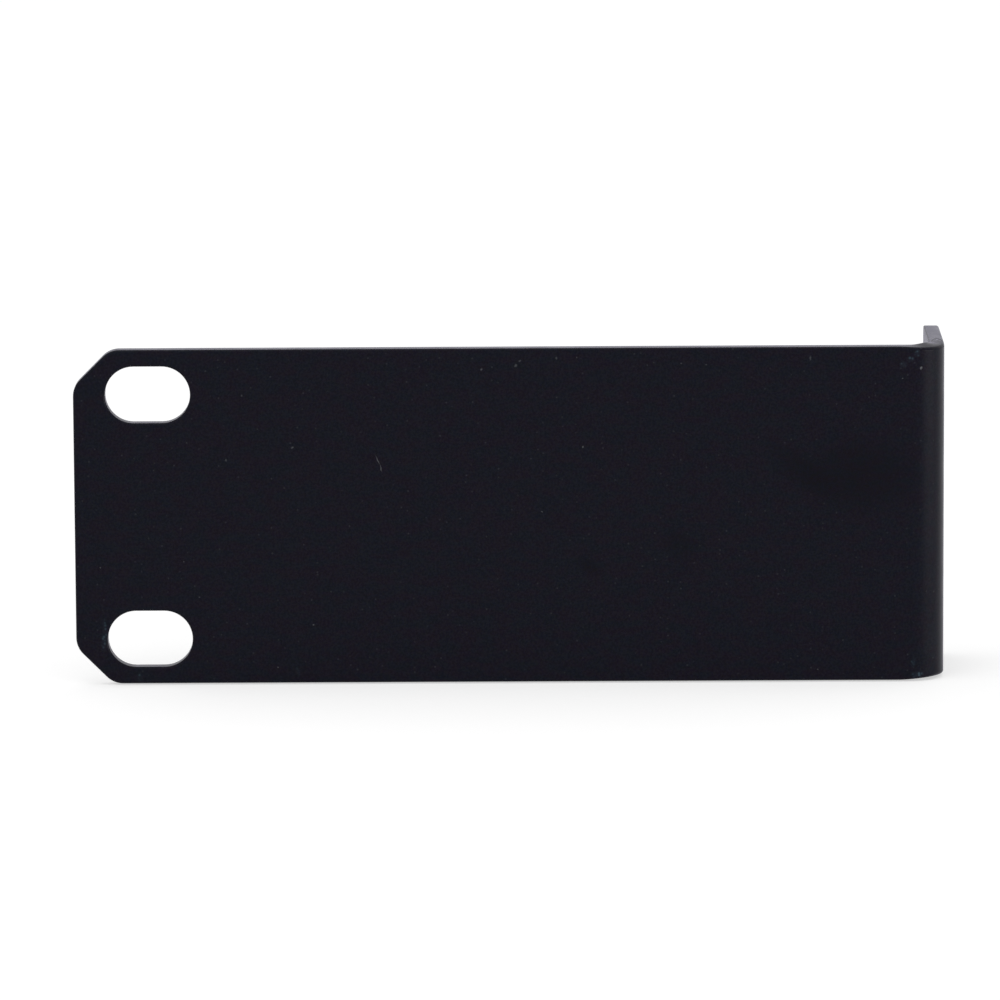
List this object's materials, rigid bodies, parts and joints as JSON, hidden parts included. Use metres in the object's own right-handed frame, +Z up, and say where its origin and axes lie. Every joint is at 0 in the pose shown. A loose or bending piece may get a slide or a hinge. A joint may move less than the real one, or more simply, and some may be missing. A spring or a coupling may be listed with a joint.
{
  "type": "rack mount ear bracket",
  "caption": "Black folded-steel rack ear: a long flat plate with round-ended rack slots and clipped corners at one end and a screw flange folded back at the other.",
  "frame": {"origin": "midway between the centres of the rack slots, on the plate's rear face, which seats on the rack rail", "axes": "+X along the plate from the rack slots to the fold, +Y back into the rack, along the flange, +Z up"},
  "size_m": [0.1118, 0.02, 0.0438],
  "materials": {
    "black_paint": "satin black powder coat with fine specks and light scuffs"
  },
  "bodies": {
    "root": {"folded_ear": "black_paint"}
  },
  "joints": []
}
